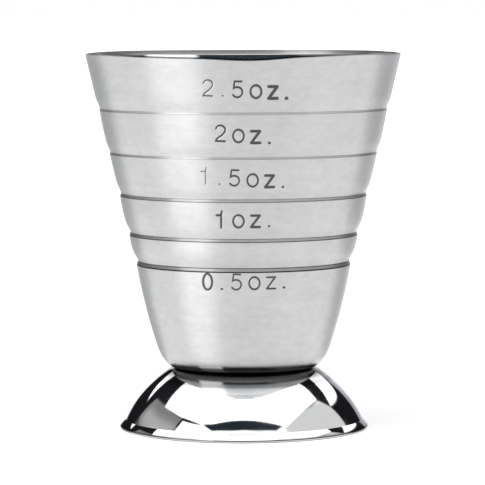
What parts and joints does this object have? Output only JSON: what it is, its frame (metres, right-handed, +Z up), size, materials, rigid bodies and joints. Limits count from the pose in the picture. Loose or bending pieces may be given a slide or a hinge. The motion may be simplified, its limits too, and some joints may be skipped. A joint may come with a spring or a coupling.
{
  "type": "bar jigger",
  "caption": "Stepped steel measuring cup with stamped volume graduations, welded to a hollow flared foot.",
  "frame": {"origin": "on the jigger's axis, in the plane that the foot's lip stands on", "axes": "+Z up along the axis of revolution, -Y towards the side that carries the graduations, +X to the right of that side"},
  "size_m": [0.0568, 0.0568, 0.068],
  "materials": {
    "satin_steel": "satin stainless steel, brushed in fine lines around the cup, with a polished rim",
    "polished_steel": "mirror polished stainless steel",
    "weld_metal": "dull fused steel"
  },
  "bodies": {
    "root": {"cup": "satin_steel", "foot": "polished_steel", "spot_weld_1": "weld_metal", "spot_weld_2": "weld_metal", "spot_weld_3": "weld_metal", "spot_weld_4": "weld_metal"}
  },
  "joints": []
}
